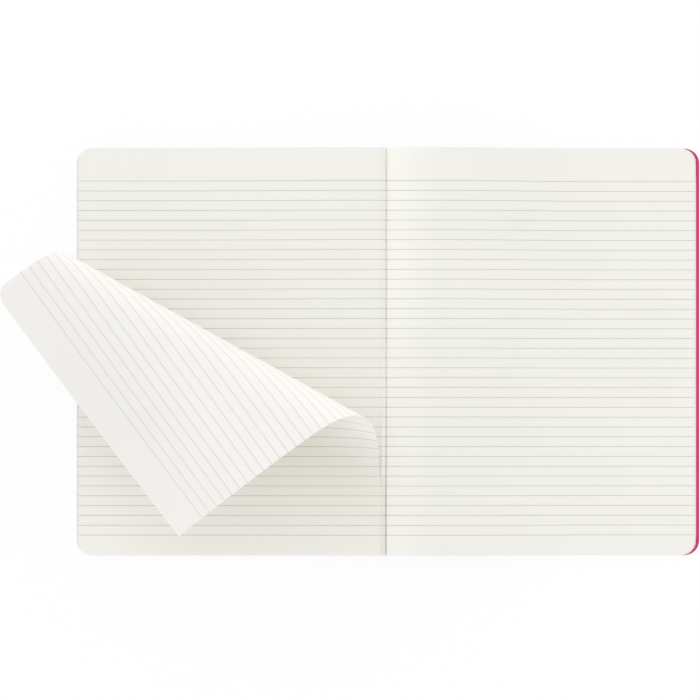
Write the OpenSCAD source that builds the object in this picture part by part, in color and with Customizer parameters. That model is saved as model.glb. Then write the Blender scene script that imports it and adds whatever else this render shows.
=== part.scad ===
// Open composition notebook, sewn through the fold, lying open near its end.
// The sewn fold of the cover is the Y axis, the table is the plane Z = 0, and
// the head of the pages is at +Y. The thick stack lies at -X, the thin one at +X.
// The top leaf of the thick stack is torn along its perforation and curls over.

/* [Cover] */
// Width of each half of the cover, from the fold to the fore-edge
cover_w = 190.5; // [150:0.5:230]
// Height of the cover and of the pages, from tail to head
book_h = 249; // [200:1:300]
// Thickness of the cover card
cover_t = 0.4; // [0.3:0.05:0.8]
// Radius of the rounded outer corners
corner_r = 9; // [3:0.5:15]
// Distance from the fold to the crease where each half of the cover turns
crease_x = 5; // [3:0.5:8]
// Radius of the groove along the outside of the fold, which holds the stitches
groove_r = 0.28; // [0.2:0.02:0.28]

/* [Leaves] */
// Thickness of one leaf
leaf_t = 0.1; // [0.08:0.01:0.14]
// Leaves in the thick stack, without the torn leaf
left_leaves = 49; // [30:1:70]
// Leaves in the thin stack
right_leaves = 10; // [4:1:20]
// Leaves that stand out as one step on the fore-edge of the thick stack
step_leaves = 7; // [3:1:14]
// How far the lowest leaves stop short of the fore-edge of the cover, thick stack
left_margin = 0.1; // [0:0.1:2]
// How far the fore-edge of the thick stack slants back from bottom to top
left_creep = 0.9; // [0.2:0.1:3]
// How far the lowest leaf stops short of the fore-edge of the cover, thin stack
right_margin = 1.9; // [0.5:0.1:4]
// How far the fore-edge of the thin stack slants back from bottom to top
right_creep = 1.1; // [0.2:0.1:3]
// How far the rounded back of the folded leaves stands away from the sewn fold
fold_set_back = 1; // [0.5:0.1:3]

/* [Torn leaf] */
// Distance from the sewn fold to the perforation
perforation_x = 5.1; // [4.5:0.1:8]
// Distance from the fore-edge of the cover to the fore-edge of the torn leaf
torn_margin = 1.2; // [1.1:0.1:3]
// Height above the tail at which the tear ends
tear_h = 48; // [30:1:90]
// Length of one tooth of the torn perforation
tooth_pitch = 2.4; // [1.6:0.2:4]
// Depth of one tooth of the torn perforation
tooth_depth = 0.4; // [0.1:0.1:0.8]
// Gap between the torn leaf and its stub where both lie flat
tear_gap = 0.2; // [0.1:0.05:0.5]
// Distance from the fold, to the left, of the point where the lines of the curl meet
curl_apex_x = 437; // [400:1:520]
// Height above the middle of the page of the point where the lines of the curl meet
curl_apex_y = 192.5; // [175:0.5:230]
// Height above the tail at which the curl leaves the page, along the perforation
curl_start_h = 41.5; // [38:0.5:60]
// Half angle of the cone that the roll follows
roll_cone = 3.65; // [3:0.05:4.2]
// Angle through which the leaf turns in the roll
roll_turn = 172; // [150:1:180]
// Half angle of the wide cone that the free flap follows
flap_cone = 20; // [14:1:40]

/* [Stitches] */
// Diameter of the binding thread
thread_d = 0.28; // [0.2:0.02:0.4]
// Length of one stitch on the outside of the fold
stitch_l = 4.2; // [3:0.1:6]
// Distance from one stitch to the next
stitch_pitch = 5; // [4.5:0.1:8]
// Distance from the head and the tail to the first and last stitch
stitch_margin = 5; // [3:0.5:12]

/* [Hidden] */
half_h = book_h / 2;
// Gap at the fold between the sheets of the two stacks, and at each crease of the cover
fold_gap = 0.1;
// Top faces of the two stacks
left_top = cover_t + left_leaves * leaf_t;
right_top = cover_t + right_leaves * leaf_t;
// Rounded back of the leaves that are folded within the thick stack
back_r = (left_top + leaf_t - right_top) / 2;
back_z = right_top + back_r;
back_x = -fold_set_back - back_r;
// Fore-edges and perforation of the torn leaf
torn_fore_x = -cover_w + torn_margin;
torn_x = -perforation_x;
tear_y = -half_h + tear_h;
// Steps per quarter turn where the stub follows the rounded back
stub_steps = 4;
// Points along the perforation between one row of the stub and the next
row_edges = 8;
// Cut taken off the sharp corner at the head, and off the rounded corner at the tail
head_cut = 0.1;
tail_cut = 0.15;
// Number of straight lines that end on the tail edge of the leaf
tail_lines = 16;

// A card or leaf seen from above: rounded at the fore-edge, square at the fold
module sheet_outline(w, h, r) {
    translate([r - w, -h / 2])
        square([w - r, h]);
    translate([-w, r - h / 2])
        square([r, h - 2 * r]);
    for (side = [-1, 1])
        translate([r - w, side * (h / 2 - r)])
            circle(r, $fn = 96);
}

// The half of the cover at -X, from its fore-edge to its crease
module cover_half() {
    inner_x = crease_x + fold_gap / 2;
    translate([-inner_x, 0, 0])
        linear_extrude(cover_t)
            sheet_outline(cover_w - inner_x, book_h, corner_r);
}

module front_cover() {
    color("hotpink")
        cover_half();
}

module back_cover() {
    color("hotpink")
        mirror([1, 0, 0])
            cover_half();
}

// The strip of the cover between its two creases, grooved outside along the fold
module cover_spine() {
    w = 2 * crease_x - fold_gap;
    color("hotpink")
        difference() {
            translate([-w / 2, -half_h, 0])
                cube([w, book_h, cover_t]);
            translate([0, half_h + 1, 0])
                rotate([90, 0, 0])
                    cylinder(r = groove_r, h = book_h + 2, $fn = 48);
        }
}

// Section of a stack's fore-edge, from its foot to its top, in equal steps
function fore_edge(x_foot, creep, z_foot, z_top, steps) = [
    for (i = [0 : steps - 1])
        for (z = [i, i + 1])
            [x_foot + creep * i / (steps - 1), z_foot + (z_top - z_foot) * z / steps]
];

// Arc about a centre, from one angle to another
function arc(centre, r, from, to, steps) = [
    for (i = [0 : steps])
        let (a = from + (to - from) * i / steps)
            centre + r * [cos(a), sin(a)]
];

// A section in X and Z, drawn along the whole height of the pages
module along_book(section) {
    translate([0, half_h, 0])
        rotate([90, 0, 0])
            linear_extrude(book_h)
                polygon(section);
}

// Thick stack: sheets that run flat to the fold, and above them the leaves that
// are folded within the stack, with their rounded back beside the fold
module left_pages() {
    foot_w = cover_w - left_margin;
    steps = max(2, round(left_leaves / step_leaves));
    section = concat(
        [[-fold_gap / 2, cover_t]],
        fore_edge(-foot_w, left_creep, cover_t, left_top, steps),
        arc([back_x, back_z], back_r - leaf_t, 90, 0, 24),
        arc([back_x, back_z], back_r, 0, -90, 24),
        [[-fold_gap / 2, right_top]]
    );
    color("ivory")
        intersection() {
            along_book(section);
            linear_extrude(left_top + 1)
                sheet_outline(foot_w, book_h, corner_r);
        }
}

// Thin stack: its leaves step back from the fore-edge, the upper ones most
module right_pages() {
    foot_w = cover_w - right_margin;
    section = concat(
        [[-fold_gap / 2, cover_t]],
        fore_edge(-foot_w, right_creep, cover_t, right_top, right_leaves),
        [[-fold_gap / 2, right_top]]
    );
    color("ivory")
        mirror([1, 0, 0])
            intersection() {
                along_book(section);
                linear_extrude(right_top + 1)
                    sheet_outline(foot_w, book_h, corner_r);
            }
}

// The torn leaf is one flat sheet that bends without stretching. All the straight
// lines of its curl meet in one point, the apex, so each line on the flat sheet
// keeps its length and only turns: first about the axis of the roll's cone, and
// then about the axis of the flap's wider cone.
apex = [-curl_apex_x, curl_apex_y];
start_angle = atan2(-half_h + curl_start_h - apex.y, torn_x - apex.x);
roll_span = roll_turn * sin(roll_cone);

// Vector v turned by angle a about the unit vector k
function turned(v, k, a) = v * cos(a) + cross(k, v) * sin(a) + k * (k * v) * (1 - cos(a));

// Axis of a cone that touches the sheet along direction d, with the sheet's normal n
function cone_axis(d, n, half_angle) = n * sin(half_angle) + d * cos(half_angle);

up = [0, 0, 1];
start_line = [cos(start_angle), sin(start_angle), 0];
roll_axis = cone_axis(start_line, up, roll_cone);
flap_line = turned(start_line, roll_axis, roll_turn);
flap_normal = turned(up, roll_axis, roll_turn);
flap_axis = cone_axis(flap_line, flap_normal, flap_cone);

// Direction and normal, in space, of the line that leaves the apex at angle a
function line_frame(a) =
    let (past = a - start_angle)
        past <= 0
            ? [[cos(a), sin(a), 0], up]
            : past <= roll_span
                ? let (t = past / sin(roll_cone))
                    [turned(start_line, roll_axis, t), turned(up, roll_axis, t)]
                : let (t = (past - roll_span) / sin(flap_cone))
                    [turned(flap_line, flap_axis, t), turned(flap_normal, flap_axis, t)];

// Point of the bent leaf at distance r from the apex on line a, lifted off its lower face
function leaf_point(a, r, lift) =
    let (f = line_frame(a))
        [apex.x, apex.y, left_top] + r * f[0] + lift * f[1];

// Outline of the flat leaf, from its corner at the tail to its corner at the head
leaf_outline = concat(
    [[torn_x, -half_h]],
    [[torn_x, half_h]],
    arc([torn_fore_x + corner_r, half_h - corner_r], corner_r, 90, 180, 16),
    arc([torn_fore_x + corner_r, -half_h + corner_r], corner_r, 180, 270, 16)
);

// Distances from the apex at which the line at angle a crosses the outline
function crossings(a) = [
    for (i = [0 : len(leaf_outline) - 1])
        let (
            p = leaf_outline[i],
            e = leaf_outline[(i + 1) % len(leaf_outline)] - p,
            d = [cos(a), sin(a)],
            den = cross(d, e)
        )
            if (abs(den) > 0.000001)
                let (t = cross(p - apex, d) / den)
                    if (t >= 0 && t < 1)
                        cross(p - apex, e) / den
];

function angle_of(p) = atan2(p.y - apex.y, p.x - apex.x);
function distance_of(p) = norm(p - apex);

// Points up the perforation: first where it holds, then where it is torn into teeth
attached_count = row_edges;
tooth_count = row_edges / 2 * round((book_h - tear_h) / tooth_pitch / row_edges * 2);
half_tooth = (book_h - tear_h - head_cut) / tooth_count / 2;
edge_count = attached_count + 2 * tooth_count;
function is_torn(i) = i > attached_count;
function edge_y(i) = is_torn(i)
    ? tear_y + (i - attached_count) * half_tooth
    : -half_h + tear_h * i / attached_count;
function tooth_cut(i) = is_torn(i) && i % 2 == 1 ? tooth_depth : 0;

// Straight lines of the sheet, each as [angle, near distance, far distance]
tail_arc = [torn_fore_x + corner_r, -half_h + corner_r];
first_angle = angle_of(tail_arc) - asin(corner_r / distance_of(tail_arc)) + tail_cut;
corner_angle = angle_of([torn_x, -half_h]);
tail_sheet_lines = [
    for (i = [0 : tail_lines - 1])
        let (
            share = i / tail_lines,
            a = first_angle + (corner_angle - first_angle) * share * share,
            c = crossings(a)
        )
            [a, min(c), max(c)]
];
function side_line(p) = [angle_of(p), min(crossings(angle_of(p))), distance_of(p)];
sheet_lines = concat(
    tail_sheet_lines,
    [for (i = [0 : edge_count]) side_line([torn_x - tooth_cut(i), edge_y(i)])]
);

// Each straight line gives four points: near and far below, near and far on top
leaf_points = [
    for (s = sheet_lines)
        for (lift = [0, leaf_t])
            for (r = [s[1], s[2]])
                leaf_point(s[0], r, lift)
];
function near_under(i) = 4 * i;
function far_under(i) = 4 * i + 1;
function near_over(i) = 4 * i + 2;
function far_over(i) = 4 * i + 3;

line_count = len(sheet_lines);
last_line = line_count - 1;
corner_line = tail_lines;
tear_line = tail_lines + attached_count;

// The stub stays in the book: torn teeth, a flat strip, then round the back of the leaves
teeth_base = len(leaf_points);
stub_teeth = [
    for (i = [attached_count + 1 : edge_count])
        for (lift = [0, leaf_t])
            [torn_x + tear_gap + tooth_cut(i), i == edge_count ? half_h : edge_y(i), left_top + lift]
];
function edge_under(i) = is_torn(i)
    ? teeth_base + 2 * (i - attached_count - 1)
    : far_under(corner_line + i);
function edge_over(i) = edge_under(i) + (is_torn(i) ? 1 : 2);

// Section of the stub past its flat strip, with facets that touch the rounded back
bend_r = (back_r - leaf_t) / cos(45 / stub_steps);
function bend_section(lift) = concat(
    [[back_x, left_top + lift]],
    [
        for (i = [0 : stub_steps - 1])
            let (a = 90 - 90 * (i + 0.5) / stub_steps)
                [back_x, back_z] + (bend_r + lift) * [cos(a), sin(a)]
    ],
    [[back_x + back_r - leaf_t + lift, back_z]]
);
last_bend = stub_steps + 1;
last_row = edge_count / row_edges;
bend_base = teeth_base + len(stub_teeth);
bend_points = [
    for (k = [0 : last_row])
        for (j = [0 : last_bend])
            for (lift = [0, leaf_t])
                let (p = bend_section(lift)[j])
                    [p[0], k == last_row ? half_h : edge_y(k * row_edges), p[1]]
];
function bend_under(k, j) = bend_base + 2 * (k * (last_bend + 1) + j);
function bend_over(k, j) = bend_under(k, j) + 1;
function nearest_row(i) = floor(i / row_edges + 0.5);

leaf_faces = concat(
    [for (i = [0 : last_line - 1]) [near_over(i), near_over(i + 1), far_over(i + 1), far_over(i)]],
    [for (i = [0 : last_line - 1]) [near_under(i), far_under(i), far_under(i + 1), near_under(i + 1)]],
    [for (i = [0 : last_line - 1]) [near_under(i), near_under(i + 1), near_over(i + 1), near_over(i)]],
    [
        for (i = [0 : last_line - 1])
            if (i < corner_line || i >= tear_line)
                [far_under(i + 1), far_under(i), far_over(i), far_over(i + 1)]
    ],
    [[near_under(0), near_over(0), far_over(0), far_under(0)]],
    [[near_over(last_line), near_under(last_line), far_under(last_line), far_over(last_line)]]
);
strip_faces = concat(
    [for (i = [0 : edge_count - 1]) [edge_over(i), edge_over(i + 1), bend_over(nearest_row(i), 0)]],
    [for (i = [0 : edge_count - 1]) [edge_under(i + 1), edge_under(i), bend_under(nearest_row(i), 0)]],
    [
        for (k = [0 : last_row - 1])
            [edge_over((k + 0.5) * row_edges), bend_over(k + 1, 0), bend_over(k, 0)]
    ],
    [
        for (k = [0 : last_row - 1])
            [bend_under(k, 0), bend_under(k + 1, 0), edge_under((k + 0.5) * row_edges)]
    ],
    [
        for (i = [attached_count : edge_count - 1])
            [edge_under(i), edge_under(i + 1), edge_over(i + 1), edge_over(i)]
    ],
    [[edge_over(edge_count), edge_under(edge_count), bend_under(last_row, 0), bend_over(last_row, 0)]],
    [[edge_over(0), bend_over(0, 0), bend_under(0, 0), edge_under(0)]]
);
bend_faces = concat(
    [
        for (k = [0 : last_row - 1])
            for (j = [0 : last_bend - 1])
                [bend_over(k, j), bend_over(k + 1, j), bend_over(k + 1, j + 1), bend_over(k, j + 1)]
    ],
    [
        for (k = [0 : last_row - 1])
            for (j = [0 : last_bend - 1])
                [bend_under(k + 1, j), bend_under(k, j), bend_under(k, j + 1), bend_under(k + 1, j + 1)]
    ],
    [
        for (k = [0 : last_row - 1])
            let (j = last_bend)
                [bend_over(k, j), bend_over(k + 1, j), bend_under(k + 1, j), bend_under(k, j)]
    ],
    [
        for (j = [0 : last_bend - 1])
            let (k = last_row)
                [bend_over(k, j), bend_under(k, j), bend_under(k, j + 1), bend_over(k, j + 1)]
    ],
    [
        for (j = [0 : last_bend - 1])
            [bend_over(0, j), bend_over(0, j + 1), bend_under(0, j + 1), bend_under(0, j)]
    ]
);

module torn_leaf() {
    color("floralwhite")
        polyhedron(
            points = concat(leaf_points, stub_teeth, bend_points),
            faces = concat(leaf_faces, strip_faces, bend_faces),
            convexity = 6
        );
}

// Stitches of the binding thread that show on the outside of the fold
module stitch() {
    bar = stitch_l - thread_d;
    rotate([90, 0, 0])
        cylinder(d = thread_d, h = bar, center = true, $fn = 24);
    for (side = [-1, 1])
        translate([0, side * bar / 2, 0])
            sphere(d = thread_d, $fn = 24);
}

module spine_thread() {
    run = book_h - 2 * stitch_margin - stitch_l;
    count = floor(run / stitch_pitch) + 1;
    color("white")
        for (i = [0 : count - 1])
            translate([0, (i - (count - 1) / 2) * stitch_pitch, groove_r - thread_d / 2])
                stitch();
}

front_cover();
cover_spine();
back_cover();
left_pages();
right_pages();
torn_leaf();
spine_thread();
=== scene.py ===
"""Looks of an open composition notebook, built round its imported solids.

Lengths in this script are in millimetres and become metres when a mesh is made. The
sewn fold is the Y axis, the table is Z = 0 and the head of the pages is at +Y.
"""

import math

import bmesh
import bpy
import numpy as np
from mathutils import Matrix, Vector


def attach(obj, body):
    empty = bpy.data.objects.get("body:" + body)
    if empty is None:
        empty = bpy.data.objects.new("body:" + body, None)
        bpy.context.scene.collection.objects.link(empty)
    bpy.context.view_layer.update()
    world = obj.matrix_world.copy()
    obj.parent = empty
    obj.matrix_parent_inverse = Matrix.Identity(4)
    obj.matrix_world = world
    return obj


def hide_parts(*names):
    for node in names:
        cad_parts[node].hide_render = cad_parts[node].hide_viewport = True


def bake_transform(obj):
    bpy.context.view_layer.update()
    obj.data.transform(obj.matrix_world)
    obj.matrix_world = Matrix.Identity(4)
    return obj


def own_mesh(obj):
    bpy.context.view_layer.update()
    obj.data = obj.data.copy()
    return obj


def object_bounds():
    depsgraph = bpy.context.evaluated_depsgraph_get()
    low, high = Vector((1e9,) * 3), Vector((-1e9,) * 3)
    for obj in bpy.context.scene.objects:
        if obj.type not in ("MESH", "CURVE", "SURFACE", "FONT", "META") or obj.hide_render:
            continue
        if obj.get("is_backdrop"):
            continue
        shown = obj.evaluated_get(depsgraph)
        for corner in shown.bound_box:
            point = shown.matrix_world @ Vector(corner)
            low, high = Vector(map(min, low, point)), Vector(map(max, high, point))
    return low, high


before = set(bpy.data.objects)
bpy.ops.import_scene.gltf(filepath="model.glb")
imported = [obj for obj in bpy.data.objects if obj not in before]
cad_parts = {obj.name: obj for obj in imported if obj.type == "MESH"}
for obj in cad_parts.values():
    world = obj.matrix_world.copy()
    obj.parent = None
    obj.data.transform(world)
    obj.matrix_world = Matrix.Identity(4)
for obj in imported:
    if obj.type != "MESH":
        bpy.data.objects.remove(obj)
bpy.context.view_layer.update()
rng = np.random.default_rng(7)

MM = 0.001

# Sizes that the solids have
COVER_W = 190.5
HALF_H = 124.5
COVER_T = 0.4
CORNER_R = 9.0
GROOVE_R = 0.28
LEAF_T = 0.1
LEFT_TOP = 5.3
RIGHT_TOP = 1.4
LEFT_FOOT = 190.4
LEFT_CREEP = 0.9
RIGHT_FOOT = 188.6
RIGHT_CREEP = 1.1
NOSE_X = -1.0
PERFORATION_X = -5.1
TORN_FORE_X = -189.3
TEAR_Y = -76.5
TOOTH_DEPTH = 0.4
TEAR_GAP = 0.2
APEX = np.array([-437.0, 192.5])
CURL_START_Y = -83.0
ROLL_CONE = math.radians(3.65)
ROLL_TURN = math.radians(172)
FLAP_CONE = math.radians(20)
THREAD_D = 0.28
STITCH_L = 4.2
STITCH_PITCH = 5.0
STITCHES = 47

# Ruling, as in the photo, on the faces that can be seen
LINES = 37
FIRST_LINE_Y = 104.2
LINE_PITCH = 6.008
LINE_W = 0.36

# Paper is drawn a little thinner than its pitch, so that each leaf shows
SHEET_T = 0.085

# How far the upper leaves rise beside the fold, and where that begins, peaks and ends
LEFT_RISE = 4.2
LEFT_RISE_TAIL = 0.7
LEFT_RISE_START = 15.0
RIGHT_RISE = 8.0
RIGHT_CREST = 31.0
RIGHT_WALL_DIP = 0.22
RIGHT_START = 1.0
RISE_END = 130.0

# The flat lower leaves end this far from the fold, and the outer sheets join them
FOLD_HALF = 3.2

# The flat patterns of the two sides are laid this far apart, so that they don't overlap
PATTERN_SHIFT = 300.0


def smooth(t):
    t = np.clip(t, 0.0, 1.0)
    return t * t * (3 - 2 * t)


# Camera
# The photo looks straight down, from 1.83 m, and its frame lies above the camera's axis
PAGE_Z = 5.3
CAMERA_H = 1833.0
FRAME_W = 427.7
CAMERA_X = -23.4
CAMERA_Y = -55.8
FRAME_MID_Y = 1.0
SENSOR_W = 36.0

camera_data = bpy.data.cameras.new("camera")
camera_data.sensor_width = SENSOR_W
camera_data.lens = SENSOR_W * CAMERA_H / FRAME_W
camera_data.shift_y = (FRAME_MID_Y - CAMERA_Y) / FRAME_W
camera_data.clip_start = 0.05
camera_data.clip_end = 20.0
camera = bpy.data.objects.new("camera", camera_data)
camera.location = (CAMERA_X * MM, CAMERA_Y * MM, (PAGE_Z + CAMERA_H) * MM)
bpy.context.scene.collection.objects.link(camera)
bpy.context.scene.camera = camera


# Materials
# Places of a Mix node's colour sockets
MIX_A = 6
MIX_B = 7
MIX_RESULT = 2


def material(name):
    mat = bpy.data.materials.new(name)
    mat.use_nodes = True
    tree = mat.node_tree
    shader = tree.nodes["Principled BSDF"]
    return mat, tree, shader


def rest_position(tree):
    """Position on the flat sheet, in metres, kept with the mesh so that it never slides."""
    node = tree.nodes.new("ShaderNodeAttribute")
    node.attribute_name = "flat_pos"
    return node.outputs["Vector"]


def noise(tree, vector, scale, detail=2.0, roughness=0.5, stretch=None):
    if stretch:
        mapping = tree.nodes.new("ShaderNodeMapping")
        mapping.inputs["Scale"].default_value = stretch
        tree.links.new(vector, mapping.inputs["Vector"])
        vector = mapping.outputs["Vector"]
    node = tree.nodes.new("ShaderNodeTexNoise")
    node.inputs["Scale"].default_value = scale
    node.inputs["Detail"].default_value = detail
    node.inputs["Roughness"].default_value = roughness
    tree.links.new(vector, node.inputs["Vector"])
    return node.outputs["Fac"]


def ramp(tree, fac, low, high):
    """A colour from low to high over the middle of a noise's range."""
    node = tree.nodes.new("ShaderNodeValToRGB")
    first, last = node.color_ramp.elements
    first.position = 0.3
    last.position = 0.7
    first.color = (*low, 1)
    last.color = (*high, 1)
    tree.links.new(fac, node.inputs["Fac"])
    return node.outputs["Color"]


def multiply(tree, a, b, share=None):
    """Colour a times b, where b is a socket or a plain colour and share is a socket."""
    node = tree.nodes.new("ShaderNodeMix")
    node.data_type = "RGBA"
    node.blend_type = "MULTIPLY"
    node.inputs["Factor"].default_value = 1.0
    tree.links.new(a, node.inputs[MIX_A])
    if share is not None:
        tree.links.new(share, node.inputs["Factor"])
    if isinstance(b, tuple):
        node.inputs[MIX_B].default_value = (*b, 1)
    else:
        tree.links.new(b, node.inputs[MIX_B])
    return node.outputs[MIX_RESULT]


def bump(tree, shader, height, strength, distance):
    node = tree.nodes.new("ShaderNodeBump")
    node.inputs["Strength"].default_value = strength
    node.inputs["Distance"].default_value = distance
    tree.links.new(height, node.inputs["Height"])
    tree.links.new(node.outputs["Normal"], shader.inputs["Normal"])
    return node.outputs["Normal"]


def share_past(tree, where, normal, offset, width, full=1.0):
    """A share that grows from 0 to full over a width before the line normal . p = offset."""
    along = tree.nodes.new("ShaderNodeVectorMath")
    along.operation = "DOT_PRODUCT"
    along.inputs[1].default_value = normal
    tree.links.new(where, along.inputs[0])
    share = tree.nodes.new("ShaderNodeMapRange")
    share.interpolation_type = "SMOOTHSTEP"
    share.inputs["From Min"].default_value = offset - width
    share.inputs["From Max"].default_value = offset
    share.inputs["To Min"].default_value = 0.0
    share.inputs["To Max"].default_value = full
    tree.links.new(along.outputs["Value"], share.inputs["Value"])
    return share.outputs["Result"]


def paper(name, colour, see_through=0.0, glow=None, tones=(), free=None):
    """Uncoated paper: soft mottling, fine fibres, and light that shines through one leaf.
    tones holds a line's normal, offset and width with a tint. free holds those of the line
    from which the leaf hangs free, and lets light through."""
    mat, tree, shader = material(name)
    where = rest_position(tree)
    cloudy = noise(tree, where, 14.0, 3.0, 0.55)
    fibres = noise(tree, where, 900.0, 4.0, 0.65, stretch=(1.0, 2.4, 1.0))
    low = tuple(c * 0.988 for c in colour)
    tone = ramp(tree, cloudy, low, colour)
    fleck = ramp(tree, fibres, (0.965, 0.962, 0.955), (1, 1, 1))
    colour_out = multiply(tree, tone, fleck)
    for *line, tint in tones:
        colour_out = multiply(tree, colour_out, tint, share_past(tree, where, *line))
    tree.links.new(colour_out, shader.inputs["Base Color"])
    shader.inputs["Roughness"].default_value = 0.85
    shader.inputs["Specular IOR Level"].default_value = 0.2
    normal = bump(tree, shader, fibres, 0.18, 0.00004)
    if see_through:
        through = tree.nodes.new("ShaderNodeBsdfTranslucent")
        through.inputs["Color"].default_value = (*glow, 1)
        tree.links.new(normal, through.inputs["Normal"])
        mix = tree.nodes.new("ShaderNodeMixShader")
        tree.links.new(share_past(tree, where, *free, see_through), mix.inputs["Fac"])
        tree.links.new(shader.outputs["BSDF"], mix.inputs[1])
        tree.links.new(through.outputs["BSDF"], mix.inputs[2])
        output = tree.nodes["Material Output"]
        tree.links.new(mix.outputs["Shader"], output.inputs["Surface"])
    return mat


def edge_paper(name, colour):
    """Cut edges of a stack: each leaf has a slightly different tone."""
    mat, tree, shader = material(name)
    where = rest_position(tree)
    leaves = noise(tree, where, 60.0, 2.0, 0.6, stretch=(0.3, 0.3, 90.0))
    fibres = noise(tree, where, 1200.0, 3.0, 0.6)
    tone = ramp(tree, leaves, tuple(c * 0.86 for c in colour), colour)
    fleck = ramp(tree, fibres, (0.95, 0.945, 0.93), (1, 1, 1))
    tree.links.new(multiply(tree, tone, fleck), shader.inputs["Base Color"])
    shader.inputs["Roughness"].default_value = 0.9
    shader.inputs["Specular IOR Level"].default_value = 0.15
    bump(tree, shader, fibres, 0.3, 0.00005)
    return mat


def card(name, colour):
    """Soft pink card: dyed through, with fine fibres and a faint worn tone."""
    mat, tree, shader = material(name)
    where = rest_position(tree)
    cloudy = noise(tree, where, 22.0, 4.0, 0.6)
    fibres = noise(tree, where, 650.0, 5.0, 0.7, stretch=(1.0, 2.0, 1.0))
    tone = ramp(tree, cloudy, tuple(c * 0.93 for c in colour), colour)
    fleck = ramp(tree, fibres, (0.88, 0.86, 0.86), (1, 1, 1))
    tree.links.new(multiply(tree, tone, fleck), shader.inputs["Base Color"])
    shader.inputs["Roughness"].default_value = 0.62
    shader.inputs["Specular IOR Level"].default_value = 0.35
    bump(tree, shader, fibres, 0.35, 0.00006)
    return mat


def cotton(name, colour):
    """Waxed cotton: fine fibres along the thread, and a faint sheen."""
    mat, tree, shader = material(name)
    where = rest_position(tree)
    fibres = noise(tree, where, 5000.0, 3.0, 0.6, stretch=(1.0, 0.3, 1.0))
    tone = ramp(tree, fibres, tuple(c * 0.8 for c in colour), colour)
    tree.links.new(tone, shader.inputs["Base Color"])
    shader.inputs["Roughness"].default_value = 0.6
    shader.inputs["Sheen Weight"].default_value = 0.2
    bump(tree, shader, fibres, 0.4, 0.00003)
    return mat


PAPER = (0.893, 0.882, 0.815)
LEAF_PAPER = (0.990, 0.985, 0.980)
INK = (0.560, 0.555, 0.515)
LEAF_INK = (0.700, 0.695, 0.670)
PINK = (0.720, 0.033, 0.182)

# The line where the torn leaf leaves the stack, as a normal and an offset in metres
START = math.atan2(CURL_START_Y - APEX[1], PERFORATION_X - APEX[0])
LIFT_NORMAL = (-math.sin(START), math.cos(START), 0.0)
LIFT_OFFSET = float(APEX @ LIFT_NORMAL[:2]) * MM

# The stack lies behind the torn leaf near that line, and lets no light through there
BACKED_W = 0.030
STACK_SIDE = tuple(-n for n in LIFT_NORMAL)
BACKED = (STACK_SIDE, -LIFT_OFFSET, BACKED_W)
FREE = (LIFT_NORMAL, LIFT_OFFSET + BACKED_W, BACKED_W)
SEE_THROUGH = 0.24

# Where the painted shade and highlight lie: a direction, the line in metres, and the width
# before it
LIFT_LINE_SHADE = (LIFT_NORMAL, LIFT_OFFSET, 0.060)
HEAD_EDGE_SHADE = ((0.0, 1.0, 0.0), HALF_H * MM, 0.070)
STEPPED_EDGE_SHADE = ((-1.0, 0.0, 0.0), 0.1894, 0.0006)
FOLD_HIGHLIGHT_END = ((1.0, 0.0, 0.0), 0.341, 0.036)
STUB_FOOT_SHADE = ((0.0, -1.0, 0.0), 0.0785, 0.004)

page_paper = paper("page_paper", PAPER)
page_ink = paper("page_ink", INK)

# The leaves of the left stack are painted darker along their stepped fore-edges, as shade
# between the steps
stack_paper = paper("stack_paper", PAPER, tones=[(*STEPPED_EDGE_SHADE, (0.86, 0.87, 0.87))])

# The part of the torn leaf that lies on the stack is painted 3.5% lighter, against the shade of
# the curl over it.
# It is painted darker and yellower towards the line where it lifts, as shade under the curl.
# There the torn leaf's two materials meet in one tone.
LIGHTENED_LYING_PAPER = tuple(c * 1.035 for c in PAPER)
lying_paper = paper("lying_paper", LIGHTENED_LYING_PAPER, tones=[(*LIFT_LINE_SHADE, (0.970, 0.965, 0.930))])
# The curled part is painted up to 6% darker towards the leaf's head edge, as shade where the
# flap's edge curls down, away from the light
leaf_paper = paper("leaf_paper", LEAF_PAPER, SEE_THROUGH, (1.0, 0.95, 0.78), free=FREE,
                   tones=[(*HEAD_EDGE_SHADE, (0.94, 0.94, 0.94)), (*BACKED, (0.907, 0.894, 0.800))])
leaf_ink = paper("leaf_ink", LEAF_INK, SEE_THROUGH, (0.70, 0.67, 0.56), free=FREE,
                 tones=[(*BACKED, (0.800, 0.799, 0.769))])

# The right page is painted a little lighter where it bends up from the fold, as a painted
# highlight on the slope that faces the light
FOLD_HIGHLIGHT_GAIN = 1.07
FOLD_HIGHLIGHT_PAPER = tuple(c * FOLD_HIGHLIGHT_GAIN for c in PAPER)
right_fold_highlight_paper = paper("right_fold_highlight_paper", FOLD_HIGHLIGHT_PAPER, tones=[(*FOLD_HIGHLIGHT_END, (1 / FOLD_HIGHLIGHT_GAIN,) * 3)])

# The strip that stays in the book is painted yellower, as shade in the gutter, and painted
# darker below the tear, as shade on its slope there.
# Its ink is painted yellower to match.
stub_paper = paper("stub_paper", (0.893, 0.880, 0.780),
                   tones=[(*STUB_FOOT_SHADE, (0.950, 0.950, 0.975))])
stub_ink = paper("stub_ink", (0.560, 0.553, 0.485))
stack_edge = edge_paper("stack_edge", (0.86, 0.84, 0.78))
cover_card = card("cover_card", PINK)
thread_cotton = cotton("thread_cotton", (0.80, 0.78, 0.72))


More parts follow.
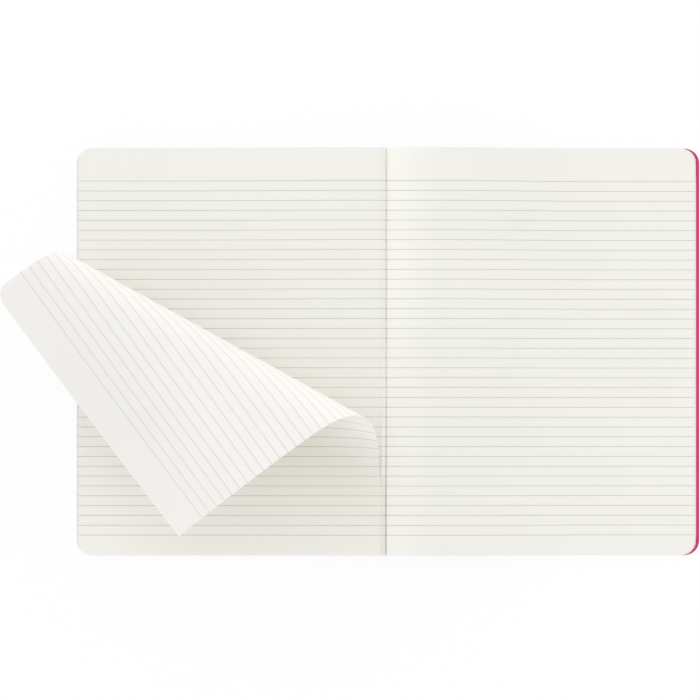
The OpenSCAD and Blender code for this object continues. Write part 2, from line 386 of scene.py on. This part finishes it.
# Meshes
def piece(name, points, faces, materials, face_slots=None, flat=None, sharp=40.0):
    """A mesh object. points are in millimetres, and flat is each point on the flat sheet."""
    mesh = bpy.data.meshes.new(name)
    mesh.from_pydata((np.asarray(points, float) * MM).tolist(), [], faces)
    where = np.asarray(points if flat is None else flat, float) * MM
    attribute = mesh.attributes.new("flat_pos", "FLOAT_VECTOR", "POINT")
    attribute.data.foreach_set("vector", where.astype(np.float32).ravel())
    for mat in materials:
        mesh.materials.append(mat)
    if face_slots is not None:
        mesh.polygons.foreach_set("material_index", np.asarray(face_slots, np.int32))
    mesh.shade_smooth()
    mesh.set_sharp_from_angle(angle=math.radians(sharp))
    mesh.update()
    obj = bpy.data.objects.new(name, mesh)
    bpy.context.scene.collection.objects.link(obj)
    return obj


# Rows of points closer than this become one
ROW_GAP = 0.12


def page_rows(extra=()):
    """Heights up the page at which a sheet's rows of points lie, and which rows are ink.
    Kinds: 0 for a corner, 1 for a tooth, 2 and 3 for the edges of a ruled line."""
    wanted = [(-HALF_H, 0), (HALF_H, 0)]
    for i in range(LINES):
        y = FIRST_LINE_Y - i * LINE_PITCH
        wanted += [(y - LINE_W / 2, 2), (y + LINE_W / 2, 3)]
    for i in range(1, 7):
        y = HALF_H - CORNER_R * (1 - math.sin(i * math.pi / 12))
        wanted += [(y, 0), (-y, 0)]
    wanted += [(y, 1) for y in extra]
    wanted.sort()
    kept = []
    for y, kind in wanted:
        if kept and y - kept[-1][0] < ROW_GAP:
            if kind > kept[-1][1] and len(kept) > 1:
                kept[-1] = (y, kind)
            elif kind in (2, 3):
                kept.append((y, kind))
            continue
        kept.append((y, kind))
    rows = np.array([y for y, _ in kept])
    ink = [kept[i][1] == 2 and kept[i + 1][1] == 3 for i in range(len(kept) - 1)]
    return rows, np.array(ink)


def corner_inset(y):
    """How far a rounded corner draws the fore-edge in at height y."""
    over = np.maximum(np.abs(y) - (HALF_H - CORNER_R), 0.0)
    return CORNER_R - np.sqrt(np.maximum(CORNER_R**2 - over**2, 0.0))


def grid_sheet(name, under, over, flat, ink, materials):
    """A thin closed sheet from two grids of points, rows by columns. Ink rows take slot 1."""
    n_rows, n_cols = under.shape[:2]
    count = n_rows * n_cols
    points = np.concatenate([under.reshape(-1, 3), over.reshape(-1, 3)])
    where = np.concatenate([flat.reshape(-1, 3), flat.reshape(-1, 3)])
    faces, slots = [], []
    for r in range(n_rows - 1):
        slot = 1 if ink is not None and ink[r] else 0
        for c in range(n_cols - 1):
            a = r * n_cols + c
            b, d = a + 1, a + n_cols
            e = d + 1
            faces.append((count + a, count + b, count + e, count + d))
            faces.append((a, d, e, b))
            slots += [slot, slot]
    for r in range(n_rows - 1):
        for c, turn in ((0, 0), (n_cols - 1, 1)):
            a = r * n_cols + c
            d = a + n_cols
            quad = (a, count + a, count + d, d)
            faces.append(quad[::-1] if turn else quad)
            slots.append(0)
    for c in range(n_cols - 1):
        for r, turn in ((0, 1), (n_rows - 1, 0)):
            a = r * n_cols + c
            b = a + 1
            quad = (a, count + a, count + b, b)
            faces.append(quad[::-1] if turn else quad)
            slots.append(0)
    return piece(name, points, faces, materials, slots, where)


# Rise beside the fold
def tail_share(y):
    """The left pages lie a little flatter towards the tail, where the leaf still holds."""
    return 1 - (1 - LEFT_RISE_TAIL) * smooth((-np.asarray(y, float) - 20) / 90)


def left_rise(x, y):
    """Rise of the left page above its stack, for x at the left of the nose."""
    run = RISE_END - LEFT_RISE_START
    across = np.clip((-np.asarray(x, float) - LEFT_RISE_START) / run, 0, 1)
    return LEFT_RISE * tail_share(y) * 0.5 * (1 + np.cos(math.pi * across))


def right_rise(x):
    """Rise of the right page above its stack, for x at the right of its wall."""
    along = np.asarray(x, float) + RIGHT_START
    up = np.clip(along / RIGHT_CREST, 0, 1)
    down = np.clip((along - RIGHT_CREST) / (RISE_END - RIGHT_CREST), 0, 1)
    dip = 1 - RIGHT_WALL_DIP * (1 - up) ** 2.2
    return RIGHT_RISE * dip * 0.5 * (1 + np.cos(math.pi * down))


def left_section(y, share, top, inset, low):
    """Middle line of one left leaf at height y, from RISE_END to under the nose."""
    run = np.concatenate([np.linspace(-RISE_END, -20, 28), np.linspace(-18, -7, 6)])
    crest = top + share * LEFT_RISE * float(tail_share(y))
    radius = (crest - low) / 2
    middle_x = NOSE_X - inset - radius
    run[-6:] = np.linspace(-18, min(middle_x - 0.4, -4.2), 6)
    line = [(x, top + share * float(left_rise(x, y))) for x in run]
    turn = np.linspace(0, 1, 19)
    for t in turn:
        a = math.pi * (0.5 - t)
        line.append((middle_x + radius * math.cos(a), low + radius + radius * math.sin(a)))
    return np.array(line)


def right_section(share, top, inset):
    """Middle line of one right leaf: from under the nose, up against it, then to RISE_END."""
    low = [(-1.3, 0.0), (-1.15, 0.03), (-0.95, 0.12), (-0.87, 0.3)]
    wall = [(-0.84, 0.8), (-0.84, 1.6), (-0.84, 2.6), (-0.84, 3.6), (-0.88, 4.4),
            (-0.97, 5.0), (-1.08, 5.45), (-1.13, 5.75), (-1.1, 6.0), (-0.98, 6.17)]
    near = -0.75 + 31.75 * np.linspace(0, 1, 26) ** 1.6
    run = np.concatenate([near, np.linspace(34, RISE_END, 26)])
    line = [(x, top + z) for x, z in low]
    line += [(x + inset, top + share * z) for x, z in wall]
    for x in run:
        back = inset * max(0.0, 1 - (x + 0.8) / 25)
        line.append((x + back, top + share * float(right_rise(x))))
    return np.array(line)


def offset(line, distance):
    """The line moved sideways, to its left."""
    step = np.gradient(line, axis=0)
    step /= np.linalg.norm(step, axis=1)[:, None]
    normal = np.stack([-step[:, 1], step[:, 0]], axis=1)
    return line + normal * distance


def lifted_leaf(name, side, rows, ink, fore, flat_z, sections, thickness, materials):
    """A leaf that lies flat by its fore-edge and rises beside the fold.
    sections gives the line, for each row, that starts at RISE_END on the left side or
    ends there on the right side."""
    flat_cols = 12
    under, over, flat = [], [], []
    for y, line in zip(rows, sections):
        edge = fore - float(corner_inset(y))
        xs = np.linspace(edge, RISE_END, flat_cols, endpoint=False)
        flat_part = np.stack([xs, np.full(flat_cols, flat_z)], axis=1)
        if side < 0:
            path = np.concatenate([flat_part * [-1, 1], line])
        else:
            path = np.concatenate([line, flat_part[::-1]])
        run = np.concatenate([[0], np.cumsum(np.linalg.norm(np.diff(path, axis=0), axis=1))])
        low, high = path, offset(path, thickness)
        under.append([(p[0], y, p[1]) for p in low])
        over.append([(p[0], y, p[1]) for p in high])
        flat.append([(s + PATTERN_SHIFT * side, y, 0) for s in run])
    return grid_sheet(
        name, np.array(under), np.array(over), np.array(flat), ink, materials
    )


ROWS, INK_ROWS = page_rows()
PLAIN_ROWS = np.array(sorted(
    [s * (HALF_H - CORNER_R * (1 - math.sin(i * math.pi / 12)))
     for i in range(7) for s in (-1, 1)]
    + list(np.linspace(-100, 100, 11))
))


# Stacks of leaves
def plate(outline, low, high, points, faces, slots):
    """Adds a flat plate with the given outline to the lists."""
    base = len(points)
    n = len(outline)
    points += [(x, y, low) for x, y in outline]
    points += [(x, y, high) for x, y in outline]
    faces.append(tuple(range(base + n - 1, base - 1, -1)))
    faces.append(tuple(range(base + n, base + 2 * n)))
    slots += [0, 0]
    for i in range(n):
        j = (i + 1) % n
        faces.append((base + i, base + j, base + n + j, base + n + i))
        slots.append(1)


def leaf_outline(side, fore, inner, half_h):
    """Outline of a leaf from above, anticlockwise, rounded at its fore-edge."""
    r = CORNER_R
    arc = []
    for i in range(9):
        a = i * math.pi / 16
        arc.append((fore - r + r * math.cos(a), half_h - r + r * math.sin(a)))
    points = [(inner, -half_h)]
    points += [(x, -y) for x, y in arc[::-1]]
    points += arc
    points += [(inner, half_h)]
    if side < 0:
        points = [(-x, y) for x, y in points[::-1]]
    return points


def join_solid(name, points, faces, slots, materials):
    """One mesh from the lists that plates and folds were added to."""
    return piece(name, points, faces, materials, slots, sharp=30.0)


def outer_leaf(name, side, foot, face):
    """The leaf next to the cover, ruled on both faces."""
    n_cols = 8
    edge = foot - corner_inset(ROWS)
    share = np.linspace(0, 1, n_cols)[None, :]
    xs = FOLD_HALF + (edge[:, None] - FOLD_HALF) * share
    if side < 0:
        xs = -xs[:, ::-1]
    ys = np.repeat(ROWS[:, None], n_cols, axis=1)
    under = np.stack([xs, ys, np.full_like(xs, COVER_T)], axis=-1)
    leaf = grid_sheet(name, under, under + [0, 0, SHEET_T], under, INK_ROWS, [face, page_ink])
    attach(leaf, "left_half" if side < 0 else "right_half")


# Leaves differ by this much at their fore-edges and at head and foot
FORE_PLAY = 0.05
HEAD_PLAY = 0.06


def lower_leaves(side, foot, creep, count, levels):
    """Leaves that run flat to the fold, above the outermost."""
    points, faces, slots = [], [], []
    for i in range(1, count):
        low = COVER_T + i * LEAF_T
        back = creep * i / (levels - 1) + rng.uniform(-FORE_PLAY, FORE_PLAY)
        half = HALF_H - rng.uniform(0, HEAD_PLAY)
        plate(leaf_outline(side, foot - back, FOLD_HALF, half), low, low + SHEET_T,
              points, faces, slots)
    return points, faces, slots


# As the book closes, the folds slide this far to the spine
FOLD_SLIDE = 3.7

# The leaves of a folded sheet end just short of its nose. The fold reaches back between
# them, beyond its slide, and is a little shorter than they are
NOSE_GAP = 0.8
FOLD_LAP = 0.9
FOLD_INSET = 0.03


def folded_leaf(k, fores, middle, nose, leaf_lists, fold_lists):
    """One sheet folded within the left stack: two leaves, and the fold that joins them.
    The fold reaches back between the leaves, so that it can slide to the spine."""
    low_r = (k + 0.5) * LEAF_T - SHEET_T / 2
    high_r = low_r + SHEET_T
    half = HALF_H - rng.uniform(0, HEAD_PLAY)
    inner = half - FOLD_INSET
    back = nose - FOLD_SLIDE - FOLD_LAP
    lap = [(back, -inner), (nose, -inner), (nose, inner), (back, inner)]
    turn = [math.pi * i / 12 for i in range(13)]
    points, faces, slots = fold_lists
    for fore, sign in zip(fores, (-1, 1)):
        low, high = sorted((middle + sign * low_r, middle + sign * high_r))
        plate(leaf_outline(-1, fore, NOSE_GAP - nose, half), low, high, *leaf_lists)
        plate(lap, low, high, *fold_lists)
    base = len(points)
    for y in (-inner, inner):
        for r in (low_r, high_r):
            points += [(nose + r * math.sin(a), y, middle + r * math.cos(a)) for a in turn]
    n = len(turn)
    inner_a, outer_a, inner_b, outer_b = (base + i * n for i in range(4))
    for i in range(n - 1):
        j = i + 1
        faces.append((outer_a + i, outer_a + j, outer_b + j, outer_b + i)[::-1])
        faces.append((inner_a + i, inner_a + j, inner_b + j, inner_b + i))
        faces.append((inner_a + i, inner_a + j, outer_a + j, outer_a + i)[::-1])
        faces.append((inner_b + i, inner_b + j, outer_b + j, outer_b + i))
        slots += [0, 0, 1, 1]
    for i, turned in ((0, False), (n - 1, True)):
        cap = (inner_a + i, inner_b + i, outer_b + i, outer_a + i)
        faces.append(cap[::-1] if not turned else cap)
        slots.append(1)


LEFT_LEVELS = 49
RIGHT_LEVELS = 10
FOLDED_SHEETS = 19
FOLDED_MIDDLE = (RIGHT_TOP + LEFT_TOP - LEAF_T) / 2
FOLDED_NOSE = NOSE_X - 0.75 - (LEFT_TOP - LEAF_T - RIGHT_TOP) / 2


def left_fore(z):
    """Fore-edge of a left leaf at height z, as a distance from the fold."""
    level = (z - COVER_T) / LEAF_T
    return LEFT_FOOT - LEFT_CREEP * level / (LEFT_LEVELS - 1) + rng.uniform(-0.08, 0.08)


# No pink shows at the left, so the outer leaf there hides the cover's edge
HIDES_COVER = 0.15
outer_leaf("left_outer_leaf", -1, COVER_W + HIDES_COVER, stack_paper)
outer_leaf("right_outer_leaf", 1, RIGHT_FOOT, page_paper)
left_lists = lower_leaves(-1, LEFT_FOOT, LEFT_CREEP, RIGHT_LEVELS, LEFT_LEVELS)
fold_lists = ([], [], [])
for k in range(FOLDED_SHEETS):
    reach = (k + 0.5) * LEAF_T
    fores = (left_fore(FOLDED_MIDDLE - reach), left_fore(FOLDED_MIDDLE + reach))
    folded_leaf(k, fores, FOLDED_MIDDLE, FOLDED_NOSE, left_lists, fold_lists)
left_leaves = join_solid("left_leaves", *left_lists, [stack_paper, stack_edge])
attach(left_leaves, "left_half")
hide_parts("left_pages")
folds = join_solid("left_sheet_folds", *fold_lists, [page_paper, stack_edge])
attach(folds, "left_half")
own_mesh(folds)

right_lists = lower_leaves(1, RIGHT_FOOT, RIGHT_CREEP, RIGHT_LEVELS - 1, RIGHT_LEVELS)
right_leaves = join_solid("right_leaves", *right_lists, [page_paper, stack_edge])
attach(right_leaves, "right_half")
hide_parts("right_pages")

# The outer sheets pass under the nose and through the sewn fold, and the uppermost one
# ends under the nose
TURN_HALF = 1.6
UNDER_NOSE_X = -1.32
points, faces, slots = [], [], []
strips = np.concatenate([[-FOLD_HALF], np.linspace(-TURN_HALF, TURN_HALF, 45), [FOLD_HALF]])
for i in range(RIGHT_LEVELS):
    low = COVER_T + i * LEAF_T
    high = low + SHEET_T
    xs = strips[strips < UNDER_NOSE_X] if i == RIGHT_LEVELS - 1 else strips
    base = len(points)
    for x in xs:
        points += [(x, -HALF_H, low), (x, HALF_H, low), (x, HALF_H, high), (x, -HALF_H, high)]
    for k in range(len(xs) - 1):
        a = base + 4 * k
        b = a + 4
        faces += [(a, a + 1, b + 1, b), (a + 2, a + 3, b + 3, b + 2)]
        faces += [(a + 1, a + 2, b + 2, b + 1), (a + 3, a, b, b + 3)]
        slots += [0, 0, 1, 1]
    end = base + 4 * (len(xs) - 1)
    faces += [(base + 3, base + 2, base + 1, base), (end, end + 1, end + 2, end + 3)]
    slots += [1, 1]
outer_fold = join_solid("outer_sheets_fold", points, faces, slots, [page_paper, stack_edge])
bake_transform(outer_fold)

# Lifted upper leaves
LEFT_FAN = 7
RIGHT_FAN = 9

for i in range(1, LEFT_FAN + 1):
    share = i / LEFT_FAN
    last = i == LEFT_FAN
    rows, ink = (ROWS, INK_ROWS) if last else (PLAIN_ROWS, None)
    top = LEFT_TOP - SHEET_T - 0.01 - 0.002 * (LEFT_FAN - i)
    inset = 0.1 + 0.09 * (LEFT_FAN - i)
    low = RIGHT_TOP + 0.14 + 0.01 * (LEFT_FAN - i)
    sections = [left_section(y, share, top, inset, low) for y in rows]
    fore = LEFT_FOOT - LEFT_CREEP - 0.03 * i
    leaf = lifted_leaf(f"left_leaf_{i}", -1, rows, ink, fore, top, sections, SHEET_T,
                       [page_paper, page_ink])
    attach(leaf, "left_half")
    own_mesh(leaf)

for i in range(1, RIGHT_FAN + 1):
    share = i / RIGHT_FAN
    last = i == RIGHT_FAN
    rows, ink = (ROWS, INK_ROWS) if last else (PLAIN_ROWS, None)
    top = RIGHT_TOP - SHEET_T - 0.002 * (RIGHT_FAN - i)
    sections = [right_section(share, top, 0.1 * (RIGHT_FAN - i))] * len(rows)
    fore = RIGHT_FOOT - RIGHT_CREEP + 0.03 * (RIGHT_FAN - i)
    leaf = lifted_leaf(f"right_leaf_{i}", 1, rows, ink, fore, top, sections, SHEET_T,
                       [right_fold_highlight_paper if last else page_paper, page_ink])
    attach(leaf, "right_half")
    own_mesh(leaf)


# Torn leaf
def turned(v, k, a):
    """Vectors v turned by angles a about the unit vector k."""
    cos = np.cos(a)[..., None]
    sin = np.sin(a)[..., None]
    return v * cos + np.cross(k, v) * sin + k * (v @ k)[..., None] * (1 - cos)


ROLL_SPAN = ROLL_TURN * math.sin(ROLL_CONE)
UP = np.array([0.0, 0.0, 1.0])
START_LINE = np.array([math.cos(START), math.sin(START), 0.0])
ROLL_AXIS = UP * math.sin(ROLL_CONE) + START_LINE * math.cos(ROLL_CONE)
FLAP_LINE = turned(START_LINE, ROLL_AXIS, np.array(ROLL_TURN))
FLAP_UP = turned(UP, ROLL_AXIS, np.array(ROLL_TURN))
FLAP_AXIS = FLAP_UP * math.sin(FLAP_CONE) + FLAP_LINE * math.cos(FLAP_CONE)


def curled(x, y, lift):
    """Where points of the flat torn leaf lie once it has curled, lifted off its lower face."""
    dx = x - APEX[0]
    dy = y - APEX[1]
    a = np.arctan2(dy, dx)
    r = np.hypot(dx, dy)
    past = a - START
    flat_dir = np.stack([np.cos(a), np.sin(a), 0 * a], axis=-1)
    roll = np.clip(past, 0, ROLL_SPAN) / math.sin(ROLL_CONE)
    roll_dir = turned(START_LINE, ROLL_AXIS, roll)
    roll_up = turned(UP, ROLL_AXIS, roll)
    flap = np.maximum(past - ROLL_SPAN, 0) / math.sin(FLAP_CONE)
    flap_dir = turned(FLAP_LINE, FLAP_AXIS, flap)
    flap_up = turned(FLAP_UP, FLAP_AXIS, flap)
    lies = (past <= 0)[..., None]
    rolls = (past <= ROLL_SPAN)[..., None]
    direction = np.where(lies, flat_dir, np.where(rolls, roll_dir, flap_dir))
    normal = np.where(lies, UP, np.where(rolls, roll_up, flap_up))
    base = np.array([APEX[0], APEX[1], LEFT_TOP])
    place = base + r[..., None] * direction + lift * normal
    on_line = np.minimum(a, START)
    lie_x = APEX[0] + r * np.cos(on_line)
    lie_y = APEX[1] + r * np.sin(on_line)
    place[..., 2] += left_rise(lie_x, lie_y)
    return place


HALF_TOOTH = 1.2
TOOTH_ROWS = int((HALF_H - TEAR_Y) / HALF_TOOTH) + 1
LOW_ROW_PITCH = 2.4
tooth_rows = [TEAR_Y + i * HALF_TOOTH for i in range(TOOTH_ROWS)]
low_rows = list(np.arange(-HALF_H + LOW_ROW_PITCH, TEAR_Y - 0.5, LOW_ROW_PITCH))
leaf_rows, leaf_ink_rows = page_rows(extra=tooth_rows + low_rows)


def tooth(y):
    """How far the torn edge is drawn in at height y: points and hollows of the perforation."""
    at = (np.asarray(y, float) - TEAR_Y) / HALF_TOOTH
    wave = np.abs((at + 1) % 2 - 1)
    return np.where(at > 0, TOOTH_DEPTH * wave, 0.0)


# The last column, beside the teeth, is 0.9 mm of the leaf's 184 mm
cols = np.linspace(0, 1, 64)
cols = np.concatenate([cols[:-1], [1 - 0.9 / 184, 1.0]])
fore_x = TORN_FORE_X + corner_inset(leaf_rows)
torn_x = PERFORATION_X - tooth(leaf_rows)
grid_x = fore_x[:, None] + (torn_x - fore_x)[:, None] * cols[None, :]
grid_y = np.repeat(leaf_rows[:, None], len(cols), axis=1)
flat_grid = np.stack([grid_x, grid_y, 0 * grid_x], axis=-1)
pattern = grid_sheet("pattern", flat_grid, flat_grid + [0, 0, LEAF_T], flat_grid,
                     leaf_ink_rows, [leaf_paper, leaf_ink])
# The flat sheet is cut along the line where it leaves the stack, and then bent.
# The part that lies on other leaves lets no light through.
cutter = bmesh.new()
cutter.from_mesh(pattern.data)
bmesh.ops.bisect_plane(
    cutter,
    geom=cutter.verts[:] + cutter.edges[:] + cutter.faces[:],
    dist=1e-8,
    plane_co=(APEX[0] * MM, APEX[1] * MM, 0),
    plane_no=LIFT_NORMAL,
)
cutter.verts.index_update()
cut_points = np.array([v.co[:] for v in cutter.verts]) / MM
cut_faces = [tuple(v.index for v in f.verts) for f in cutter.faces]
cut_slots = [f.material_index for f in cutter.faces]
cutter.free()
bpy.data.meshes.remove(pattern.data)
away = (cut_points[:, :2] - APEX) @ LIFT_NORMAL[:2]
cut_slots = [slot if away[list(f)].mean() > 0 else slot + 2
             for f, slot in zip(cut_faces, cut_slots)]
torn_leaf = piece(
    "torn_leaf_sheet",
    curled(cut_points[:, 0], cut_points[:, 1], cut_points[:, 2:]),
    cut_faces,
    [leaf_paper, leaf_ink, lying_paper, page_ink],
    cut_slots,
    cut_points * [1, 1, 0],
)
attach(torn_leaf, "left_half")
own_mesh(torn_leaf)
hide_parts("torn_leaf")

# Its stub stays in the book and follows the rounded back of the leaves
STUB_END = math.radians(100)


def on_back(middle_x, middle_z, radius, a):
    """A point of the rounded back, at the angle a from straight up."""
    return (middle_x + radius * math.sin(a), middle_z + radius * math.cos(a))


stub_under, stub_over, stub_flat = [], [], []
for y in leaf_rows:
    crest = LEFT_TOP + LEFT_RISE * float(tail_share(y))
    low = RIGHT_TOP + 0.1
    radius = (crest - low) / 2
    middle = (NOSE_X - LEAF_T - radius, low + radius, radius)
    edge = PERFORATION_X + (TEAR_GAP + float(tooth(y)) if y > TEAR_Y else 0.0)
    if edge > middle[0]:
        begin = math.asin((edge - middle[0]) / radius)
        line = [on_back(*middle, a) for a in np.linspace(begin, begin + 0.02, 3)]
        begin += 0.03
    else:
        begin = 0.0
        line = [(x, crest) for x in np.linspace(edge, middle[0], 4)[:-1]]
    line += [on_back(*middle, a) for a in np.linspace(begin, STUB_END, 14)]
    line = np.array(line)
    high = offset(line, LEAF_T)
    stub_under.append([(p[0], y, p[1]) for p in line])
    stub_over.append([(p[0], y, p[1]) for p in high])
    run = np.concatenate([[0], np.cumsum(np.linalg.norm(np.diff(line, axis=0), axis=1))])
    stub_flat.append([(edge + s, y, 0) for s in run])
stub = grid_sheet("torn_leaf_stub", np.array(stub_under), np.array(stub_over),
                  np.array(stub_flat), leaf_ink_rows, [stub_paper, stub_ink])
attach(stub, "left_half")
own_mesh(stub)


# Cover
def slab(name, xs, section_low, side, rounded):
    """Card across the distances xs from the fold, on one side of it. Its far corners are
    rounded if rounded is true, and section_low gives the height of its lower face."""
    rows = np.array(sorted(set(
        [round(s * (HALF_H - CORNER_R * (1 - math.sin(i * math.pi / 18))), 6)
         for i in range(10) for s in (-1, 1)] + list(np.linspace(-110, 110, 12).round(6))
    )))
    under, over = [], []
    for y in rows:
        inset = float(corner_inset(y)) if rounded else 0.0
        line = np.array(xs, float)
        if rounded:
            far = COVER_W - inset
            share = (line - line.min()) / (line.max() - line.min())
            line = line.min() + share * (far - line.min())
        place = side * line
        low = [section_low(x) for x in place]
        under.append([(x, y, z) for x, z in zip(place, low)])
        over.append([(x, y, COVER_T) for x in place])
    under, over = np.array(under), np.array(over)
    if side < 0:
        under, over = under[:, ::-1], over[:, ::-1]
    return grid_sheet(name, under, over, under, None, [cover_card])


# The spine card joins each half of the cover here, and each half bends from here to
# 6.2 mm, round its crease at 5 mm
SEAM_X = 3.8
cover_lines = np.concatenate([
    [SEAM_X],
    np.linspace(4.1, 5.9, 13),
    [6.3, 8.0, 12.0],
    np.linspace(25, COVER_W, 9),
])
front = slab("front_cover_card", cover_lines, lambda x: 0.0, -1, True)
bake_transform(front)
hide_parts("front_cover")
back = slab("back_cover_card", cover_lines, lambda x: 0.0, 1, True)
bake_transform(back)
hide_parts("back_cover")


def groove_low(x):
    """Height of the card's lower face, where the groove holds the stitches."""
    return math.sqrt(max(GROOVE_R**2 - x**2, 0.0)) if abs(x) < GROOVE_R else 0.0


groove_xs = [GROOVE_R * math.sin(i * math.pi / 16) for i in range(-8, 9)]
beside = list(np.linspace(0.36, TURN_HALF, 18)) + [2.4, 3.2, SEAM_X]
strip_lines = np.array(sorted([-x for x in beside] + groove_xs + beside))
spine = slab("cover_spine_card", strip_lines, groove_low, 1, False)
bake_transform(spine)
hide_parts("cover_spine")


# Stitches
def stitch_points(y_mid, strand):
    """One strand of a two-strand thread. It twists along the groove and dips in at its ends."""
    rings, around = 22, 7
    strand_r = THREAD_D * 0.27
    orbit = THREAD_D / 2 - strand_r
    made = []
    for i in range(rings):
        t = i / (rings - 1)
        y = y_mid + (t - 0.5) * (STITCH_L - 0.1)
        twist = 2 * math.pi * 2.2 * t + strand * math.pi
        ends = min(t, 1 - t)
        taper = min(1.0, (ends / 0.06) ** 0.5) if ends > 0 else 0.0
        rise = 0.10 * (1 - min(1.0, ends / 0.08)) ** 2
        cx = orbit * math.cos(twist)
        cz = GROOVE_R - THREAD_D / 2 + orbit * math.sin(twist) + rise
        for j in range(around):
            b = 2 * math.pi * j / around
            made.append((cx + strand_r * taper * math.cos(b), y,
                         cz + strand_r * taper * math.sin(b)))
    return made, rings, around


points, faces = [], []
for i in range(STITCHES):
    y_mid = (i - (STITCHES - 1) / 2) * STITCH_PITCH
    for strand in (0, 1):
        made, rings, around = stitch_points(y_mid, strand)
        base = len(points)
        points += made
        for r in range(rings - 1):
            for j in range(around):
                k = (j + 1) % around
                a = base + r * around + j
                b = base + r * around + k
                faces.append((a, b, b + around, a + around))
stitches = piece("spine_stitches", points, faces, [thread_cotton], sharp=80.0)
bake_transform(stitches)
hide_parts("spine_thread")


# Stage
# How much of the floor's look is plain white. The rest takes the object's shadow.
FLOOR_GLOW = 0.88


def floor_material():
    """White to the camera and to mirrors, with a trace of the object's shadow."""
    mat, tree, shader = material("floor_white")
    shader.inputs["Base Color"].default_value = (0.97, 0.97, 0.97, 1)
    shader.inputs["Roughness"].default_value = 0.9
    shader.inputs["Specular IOR Level"].default_value = 0.0
    glow = tree.nodes.new("ShaderNodeEmission")
    glow.inputs["Color"].default_value = (1, 1, 1, 1)
    glow.inputs["Strength"].default_value = 1.0
    path = tree.nodes.new("ShaderNodeLightPath")
    share = tree.nodes.new("ShaderNodeMath")
    share.operation = "MULTIPLY"
    share.inputs[1].default_value = FLOOR_GLOW
    seen = tree.nodes.new("ShaderNodeMath")
    seen.operation = "MAXIMUM"
    tree.links.new(path.outputs["Is Camera Ray"], seen.inputs[0])
    tree.links.new(path.outputs["Is Glossy Ray"], seen.inputs[1])
    tree.links.new(seen.outputs[0], share.inputs[0])
    mix = tree.nodes.new("ShaderNodeMixShader")
    tree.links.new(share.outputs[0], mix.inputs["Fac"])
    tree.links.new(shader.outputs["BSDF"], mix.inputs[1])
    tree.links.new(glow.outputs["Emission"], mix.inputs[2])
    tree.links.new(mix.outputs["Shader"], tree.nodes["Material Output"].inputs["Surface"])
    return mat


FLOOR_HALF = 6.0
SQUARE = ((-1, -1), (1, -1), (1, 1), (-1, 1))
floor_corners = [(x * FLOOR_HALF, y * FLOOR_HALF, 0) for x, y in SQUARE]
floor_mesh = bpy.data.meshes.new("floor")
floor_mesh.from_pydata(floor_corners, [], [(0, 1, 2, 3)])
floor_mesh.materials.append(floor_material())
floor = bpy.data.objects.new("floor", floor_mesh)
floor.location = (0, 0, -0.0002)
bpy.context.scene.collection.objects.link(floor)
floor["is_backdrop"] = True

WORLD_LOW = 1.75
WORLD_HIGH = 0.78
WORLD_SIDE = (-0.20, 0.16, 0.0)
WORLD_FLAT = 0.9
world = bpy.data.worlds.new("world")
bpy.context.scene.world = world
world.use_nodes = True
tree = world.node_tree
background = tree.nodes["Background"]
background.inputs["Color"].default_value = (0.998, 1.0, 1.025, 1)
# A ring of soft light: bright near the horizon, most so at the upper left, dim overhead
where = tree.nodes.new("ShaderNodeTexCoord")
height = tree.nodes.new("ShaderNodeSeparateXYZ")
tree.links.new(where.outputs["Generated"], height.inputs["Vector"])
rise = tree.nodes.new("ShaderNodeMapRange")
rise.interpolation_type = "SMOOTHSTEP"
rise.inputs["From Min"].default_value = 0.0
rise.inputs["From Max"].default_value = WORLD_FLAT
rise.inputs["To Min"].default_value = WORLD_LOW
rise.inputs["To Max"].default_value = WORLD_HIGH
tree.links.new(height.outputs["Z"], rise.inputs["Value"])
facing = tree.nodes.new("ShaderNodeVectorMath")
facing.operation = "DOT_PRODUCT"
facing.inputs[1].default_value = WORLD_SIDE
tree.links.new(where.outputs["Generated"], facing.inputs[0])
tilt = tree.nodes.new("ShaderNodeMath")
tilt.operation = "ADD"
tilt.inputs[1].default_value = 1.0
tree.links.new(facing.outputs["Value"], tilt.inputs[0])
level = tree.nodes.new("ShaderNodeMath")
level.operation = "MULTIPLY"
tree.links.new(rise.outputs["Result"], level.inputs[0])
tree.links.new(tilt.outputs["Value"], level.inputs[1])
tree.links.new(level.outputs["Value"], background.inputs["Strength"])
white = tree.nodes.new("ShaderNodeBackground")
white.inputs["Color"].default_value = (1, 1, 1, 1)
white.inputs["Strength"].default_value = 1.0
path = tree.nodes.new("ShaderNodeLightPath")
mix = tree.nodes.new("ShaderNodeMixShader")
tree.links.new(path.outputs["Is Camera Ray"], mix.inputs["Fac"])
tree.links.new(background.outputs["Background"], mix.inputs[1])
tree.links.new(white.outputs["Background"], mix.inputs[2])
tree.links.new(mix.outputs["Shader"], tree.nodes["World Output"].inputs["Surface"])

sun_data = bpy.data.lights.new("key", "SUN")
sun_data.energy = 0.05
sun_data.angle = math.radians(60)
sun_data.color = (1.0, 1.0, 1.0)
sun = bpy.data.objects.new("key", sun_data)
towards = Vector((-0.40, 0.75, 0.50))
sun.rotation_mode = "QUATERNION"
sun.rotation_quaternion = towards.to_track_quat("Z", "Y")
bpy.context.scene.collection.objects.link(sun)

bpy.context.scene.view_settings.view_transform = "Standard"

low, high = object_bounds()
